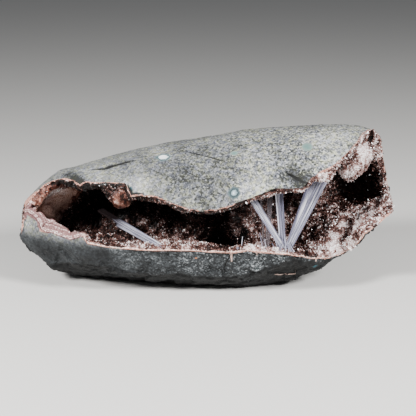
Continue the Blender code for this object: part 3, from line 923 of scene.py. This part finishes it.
def crust_bed(host_tree, hull_tree, material):
    """The crust under its crystals: lumpy, set into the rock, banded where it broke off."""
    crust = merged_copy("heulandite_crust", "heulandite_crust_bed")
    divide = crust.modifiers.new("finer", "SUBSURF")
    divide.subdivision_type = "SIMPLE"
    divide.levels = divide.render_levels = 2
    apply_modifiers(crust)

    points = points_of(crust)
    place, layer = nearest_on(host_tree, points)
    hidden = layer < TOUCHING
    into = (place - points) / np.maximum(layer, 1e-6)[:, None]
    points[hidden] += into[hidden] * (layer[hidden] + SUNK)[:, None]
    _, inside = nearest_on(hull_tree, points)
    ledge = 1 - smoothstep(0.7, 1.2, to_line(points, LEDGE[0])[0] / LEDGE[1])
    # Only the outer edge of the crust broke flush with the rock; the rest is set back.
    outward = np.array([hull_tree.find_nearest(Vector(p))[1] for p in points])
    back = np.clip(2.2 * (layer - 0.5), 0, SET_BACK) * (1 - smoothstep(2.0, 5.0, inside))
    back *= 1 - ledge
    points -= outward * np.where(hidden, 0, back)[:, None]
    move_points(crust, points)
    layer = np.where(hidden, -SUNK, layer)
    _, inside = nearest_on(hull_tree, points)
    thin = (1 - smoothstep(0.4, 1.2, inside)) * (1 - smoothstep(0.4, 1.0, layer))
    rim = np.maximum(thin, ledge * (1 - smoothstep(*LEDGE_DEEP, inside)))
    smoothed(crust, "inner", np.where(hidden, 0, 1 - 0.6 * rim), 6)

    points, normals = points_of(crust), rows_of(crust, "normal")
    kidney = cover_of(points, KIDNEYS)
    knobs = sum(weight * domes(points, width) for weight, width in KNOBS) - 1.8
    rise = kidney * knobs + (1 - kidney) * layered(points, CRUST_LUMPS)
    rise += rim * 0.25 * swell(points, 1.6, 5.0) + gathered(points, CRUST_RISES)
    rise = np.where(hidden, 0, rise * (1 - 0.75 * rim))
    points += normals * rise[:, None]
    points = lifted(host_tree, points, ~hidden & (inside > 1.2), STANDING)
    move_points(crust, points)
    note_crust(crust, points, inside, layer, rim, ledge, kidney, hidden, knobs)
    choose(crust)
    bpy.ops.object.shade_smooth()
    finished(crust, material, "heulandite_crust")
    return crust


def note_crust(crust, points, inside, layer, rim, ledge, kidney, hidden, knobs):
    """Writes what the crust's colours and its crystals read."""
    x, z = points[:, 0], points[:, 2]
    depth = smoothstep(4, 34, inside)
    right = smoothstep(50, 80, x)
    low = 1 - smoothstep(26, 40, z)
    upper = smoothstep(45, 52, z)
    tones_and_painted_light = gathered(points, CRUST_TONES_AND_PAINTED_LIGHT_AND_SHADE)
    # Painted light and shade: paler at the mouth and on the floor, where light falls into the
    # hollow, and darker in the depth and on the upper lip, where shade falls; also paler at the
    # open end and darker in the left chamber.
    pale = CRUST_TONE + 0.16 * np.exp(-inside / 5.0) * (1 - upper) + 0.10 * right + 0.14 * low
    pale -= 0.30 * depth
    # Painted light: the tops of the kidney-shaped lumps are paler.
    pale += tones_and_painted_light + 0.22 * kidney * (knobs - 0.8)
    pale -= 0.24 * upper * (1 - smoothstep(14, 30, x)) * (1 - kidney)
    pale -= 0.20 * (1 - smoothstep(-62, -40, x)) * (1 - kidney)
    # How far the broken edge reaches: hardly on the upper lip, not at all over the spray.
    bare = upper * smoothstep(14, 20, x) * (1 - smoothstep(58, 66, x))
    patchy = upper * swell(points, 4.0, 1.4)
    reach = 0.35 - 1.4 * bare + 0.8 * patchy - 0.5 * upper + 8.0 * ledge
    size = 0.95 + 0.15 * right - 0.35 * rim - 0.35 * kidney - 0.2 * (1 - smoothstep(-60, -40, x))
    note(
        crust,
        reach=reach,
        inside=inside,
        deep_edge=ledge * (1 - smoothstep(*LEDGE_DEEP, inside)),
        dull=np.clip(-tones_and_painted_light, 0, 1),
        lip_tint=1 - ledge,
        pale=pale,
        tan=kidney,
        layer=layer,
        crystal_size=np.clip(size, 0.4, 1.2),
        density=(1 - 0.75 * kidney) * (1 - 0.6 * rim) * (1 - ledge * rim),
        hidden=hidden.astype(float),
    )


def crystal_forms():
    """Three small heulandite crystals: a wedge, a coffin-shaped tablet and a slanting prism."""
    forms = bpy.data.collections.new("crystal_forms")
    bpy.context.scene.collection.children.link(forms)
    for i, (sides, foot, head, height, scale, slant) in enumerate(CRYSTALS):
        bpy.ops.object.select_all(action="DESELECT")
        bpy.ops.mesh.primitive_cone_add(
            vertices=sides,
            radius1=foot * MM,
            radius2=head * MM,
            depth=height * MM,
            location=(0, 0, 0.25 * height * MM),  # a quarter of it is rooted in the crust
            scale=scale,
            rotation=(0, 0, math.radians(20)),
        )
        bpy.ops.object.transform_apply(location=True, rotation=True, scale=True)
        crystal = bpy.context.object
        crystal.name = f"crystal_{i}"
        # The head slants and leans over a little.
        for v in crystal.data.vertices:
            if v.co.z > 0.5 * height * MM:
                v.co.z += slant * v.co.y * 2.4
                v.co.y += slant * 0.3 * MM
        for holder in list(crystal.users_collection):
            holder.objects.unlink(crystal)
        forms.objects.link(crystal)
    return forms


def druse_nodes(forms, seed):
    """Geometry nodes that stand crystals on a bed, each turned, tilted and sized its own way."""
    tree = bpy.data.node_groups.new("druse", "GeometryNodeTree")
    tree.interface.new_socket("Bed", in_out="INPUT", socket_type="NodeSocketGeometry")
    tree.interface.new_socket("Crystals", in_out="OUTPUT", socket_type="NodeSocketGeometry")
    share, grown = [
        add(tree, "GeometryNodeInputNamedAttribute", {"Name": name}, data_type="FLOAT")
        for name in ("density", "crystal_size")
    ]
    spread = {
        "Mesh": add(tree, "NodeGroupInput", {}),
        "Distance Min": CRYSTAL_SPACING * MM,
        "Density Max": CRYSTALS_TRIED,
        "Density Factor": share,
        "Seed": seed,
    }
    kind = "GeometryNodeDistributePointsOnFaces"
    points = add(tree, kind, spread, "Points", distribute_method="POISSON")
    tilt = {"Min": [-most for most in CRYSTAL_TILT], "Max": CRYSTAL_TILT, "Seed": seed}
    tilt = add(tree, "FunctionNodeRandomValue", tilt, data_type="FLOAT_VECTOR")
    turned = {"Rotation": points.node.outputs["Rotation"], "Rotate By": tilt}
    turned = add(tree, "FunctionNodeRotateRotation", turned, rotation_space="LOCAL")
    size, shade = [
        add(tree, "FunctionNodeRandomValue", {2: low, 3: high, "Seed": seed + i}, 1)
        for i, (low, high) in ((1, CRYSTAL_SIZES), (2, (0.0, 1.0)))
    ]
    size = add(tree, "ShaderNodeMath", {0: grown, 1: size}, operation="MULTIPLY")
    models = {"Collection": forms, "Separate Children": True, "Reset Children": True}
    stood = {
        "Points": points,
        "Instance": add(tree, "GeometryNodeCollectionInfo", models),
        "Pick Instance": True,
        "Rotation": turned,
        "Scale": size,
    }
    stood = add(tree, "GeometryNodeInstanceOnPoints", stood)
    stood = {"Geometry": stood, "Name": "shade", "Value": shade}
    stood = add(tree, "GeometryNodeStoreNamedAttribute", stood, domain="INSTANCE")
    real = add(tree, "GeometryNodeRealizeInstances", {"Geometry": stood})
    feed(tree, tree.nodes.new("NodeGroupOutput"), {0: real})
    return tree


def druse(crust, name, low, high, forms, seed, material):
    """The crystals that stand on the crust between two places along X."""
    piece = own_copy(crust, name)
    bm = bmesh.new()
    bm.from_mesh(piece.data)
    hidden = bm.verts.layers.float["hidden"]
    drop = []
    for face in bm.faces:
        x = face.calc_center_median().x / MM
        if not low <= x < high or all(v[hidden] > 0.5 for v in face.verts):
            drop.append(face)
    bmesh.ops.delete(bm, geom=drop, context="FACES")
    bm.to_mesh(piece.data)
    bm.free()
    grow = piece.modifiers.new("crystals", "NODES")
    grow.node_group = druse_nodes(forms, seed)
    apply_modifiers(piece)
    finished(piece, material, "heulandite_crust")


# ---------------- the scolecite


def laid_out(foot, head):
    """The ends of a blade, and the ways along it, across its broad face and out of that."""
    foot, head = Vector(foot), Vector(head)
    axis = (head - foot).normalized()
    across = (Vector((1, 0, 0)) - axis * axis.x).normalized()
    return foot, head, axis, across, axis.cross(across)


def length_map_of(piece):
    """The UV map that the striations follow: across and along the blade, in millimetres."""
    length_map = piece.data.uv_layers.active or piece.data.uv_layers.new()
    length_map.name = "length"
    return length_map


def lath(foot, head, foot_width, head_width, thickness, tip):
    """One scolecite blade: a flat prism with bevelled edges that ends in a slanting chisel."""
    foot, head, axis, across, out = laid_out(foot, head)
    length = (head - foot).length
    bpy.ops.object.select_all(action="DESELECT")
    turn = (0, 0, math.radians(22.5))  # its flats, not its corners, face across and out
    bpy.ops.mesh.primitive_cylinder_add(
        vertices=8, radius=0.5, depth=1.0, end_fill_type="TRIFAN", rotation=turn
    )
    bpy.ops.object.transform_apply(location=False, rotation=True, scale=False)
    blade = bpy.context.object
    for v in blade.data.vertices:
        share = v.co.z + 0.5
        width = foot_width + (head_width - foot_width) * share
        along = share * length
        if share > 0.9:
            along -= tip * (0.5 + v.co.x) * width
        # The broad face is flat, and the corners beside it are narrow.
        side, deep = v.co.x, v.co.y
        if abs(side) + abs(deep) > 0.1:
            edge = abs(side) > abs(deep)
            side = math.copysign(0.5 if edge else BROAD_FACE, side)
            deep = math.copysign(NARROW_EDGE if edge else 0.5, deep)
        place = foot + axis * along + across * (side * width) + out * (deep * thickness)
        v.co = place * MM
    length_map = length_map_of(blade)
    for loop in blade.data.loops:
        offset = blade.data.vertices[loop.vertex_index].co / MM - foot
        u = offset.dot(across) + 2.0 * offset.dot(out) + 7.3 * foot.x
        length_map.data[loop.index].uv = (u, offset.dot(axis))
    return blade


def bundle(foot, head, foot_width, head_width, thickness, count, seed):
    """Blades side by side that fan a little from a common foot."""
    foot, head, axis, across, out = laid_out(foot, head)
    rng = np.random.default_rng(seed)
    inner = (np.arange(1, count) + rng.uniform(-0.25, 0.25, count - 1)) / count
    cuts = np.concatenate(([0], np.sort(inner), [1]))
    blades = []
    for near, far in zip(cuts, cuts[1:]):
        middle, share = (near + far) / 2 - 0.5, far - near
        deep = out * rng.uniform(*DEEPS) * thickness
        blades.append(
            lath(
                foot + across * middle * foot_width + deep,
                head + across * middle * head_width + deep + axis * rng.uniform(*HEAD_SHIFTS),
                foot_width * share * FOOT_SHARE,
                head_width * share * rng.uniform(*HEAD_SHARES),
                thickness * rng.uniform(*THICKNESSES),
                rng.uniform(*TIPS),
            )
        )
    return blades


def scolecite(name, blades, material, node):
    """Makes one piece of the blades."""
    piece = joined(blades, name)
    bpy.ops.object.shade_flat()
    finished(piece, material, node)


def white_balls(crust, material):
    """Small balls of scolecite that grew on the crust, each a little sunk in it."""
    skin = skin_tree(crust)
    balls = []
    for place, width in BALLS:
        seat = skin.find_nearest(Vector(place))[0]
        bpy.ops.object.select_all(action="DESELECT")
        bpy.ops.mesh.primitive_ico_sphere_add(
            subdivisions=2, radius=0.5 * width * MM, location=seat * MM
        )
        bpy.ops.object.transform_apply(location=True, rotation=False, scale=False)
        ball = bpy.context.object
        for v in ball.data.vertices:
            v.co += (v.co - seat * MM) * 0.35 * noise.noise(v.co / MM * 2.4)
        balls.append(ball)
    piece = joined(balls, "white_balls")
    length_map_of(piece)
    bpy.ops.object.shade_smooth()
    finished(piece, material, "scolecite_spray")


# ---------------- light, floor, camera


def pale_floor():
    bpy.ops.object.select_all(action="DESELECT")
    bpy.ops.mesh.primitive_plane_add(size=12)
    floor = bpy.context.object
    floor.name = "floor"
    material, _, shader, _ = blank_material("matt_paper")
    feed(material.node_tree, shader, {"Base Color": paint("#dedcd8"), "Roughness": 0.9})
    floor.data.materials.append(material)


def aimed(thing, place, aim):
    thing.rotation_euler = (Vector(aim) - Vector(place)).to_track_quat("-Z", "Y").to_euler()


def lamp(name, place, power):
    bpy.ops.object.light_add(type="AREA", location=Vector(place) * MM)
    light = bpy.context.object
    light.name = name
    light.data.size = LAMP_SIZE * MM
    light.data.energy = power
    aimed(light, place, LAMP_AIM)


def soft_room(strength):
    world = bpy.data.worlds.new("soft_room")
    bpy.context.scene.world = world
    world.use_nodes = True
    background = world.node_tree.nodes["Background"]
    feed(world.node_tree, background, {"Color": paint("#e8ecf2"), "Strength": strength})


def camera():
    rise = math.radians(CAMERA_RISE)
    away = CAMERA_AWAY * Vector((0, -math.cos(rise), math.sin(rise)))
    place = Vector(CAMERA_AIM) + away
    bpy.ops.object.camera_add(location=place * MM)
    made = bpy.context.object
    aimed(made, place, CAMERA_AIM)
    made.data.lens = 110
    made.data.sensor_width = 36
    made.data.clip_start = 0.01
    bpy.context.scene.camera = made


# ---------------- the geode


def main():
    host_tree = skin_tree(frame["nodes"]["basalt_host"])
    hull_tree = skin_tree(frame["nodes"]["basalt_host"], hull=True)
    crust_tree = skin_tree(frame["nodes"]["heulandite_crust"])
    basalt_rock(crust_tree, hull_tree, weathered_basalt())
    crust = crust_bed(host_tree, hull_tree, heulandite("banded_heulandite", False))

    crystal = heulandite("heulandite_crystals", True)
    forms = crystal_forms()
    for name, low, high, seed in DRUSES:
        druse(crust, name, low, high, forms, seed, crystal)
    for model in list(forms.objects):
        bpy.data.objects.remove(model)
    bpy.data.collections.remove(forms)

    milky = scolecite_glass("milky_scolecite", MILKY, 0.25)
    clear = scolecite_glass("clear_scolecite", CLEAR, 0.8)
    for name, bundles, seed, material, node in (
        ("spray_blades", SPRAY, 40, milky, "scolecite_spray"),
        ("left_blades", LEFT_BLADE, 50, milky, "scolecite_left_blade"),
        ("back_needles", BACK_PAIR, 60, clear, "scolecite_back_pair"),
        ("shadow_blades", SHADOW_BLADE, 70, clear, "scolecite_shadow_blade"),
    ):
        blades = [blade for i, row in enumerate(bundles) for blade in bundle(*row, seed + i)]
        scolecite(name, blades, material, node)
    # Single needles round the feet of the spray and beside the cracks of the crust.
    blades = [lath(foot, head, width, 0.6 * width, width, 1.0) for foot, head, width in NEEDLES]
    scolecite("loose_needles", blades, milky, "scolecite_spray")
    white_balls(crust, milky)

    pale_floor()
    for name, place, power in LAMPS:
        lamp(name, place, power)
    soft_room(0.16)
    camera()


main()
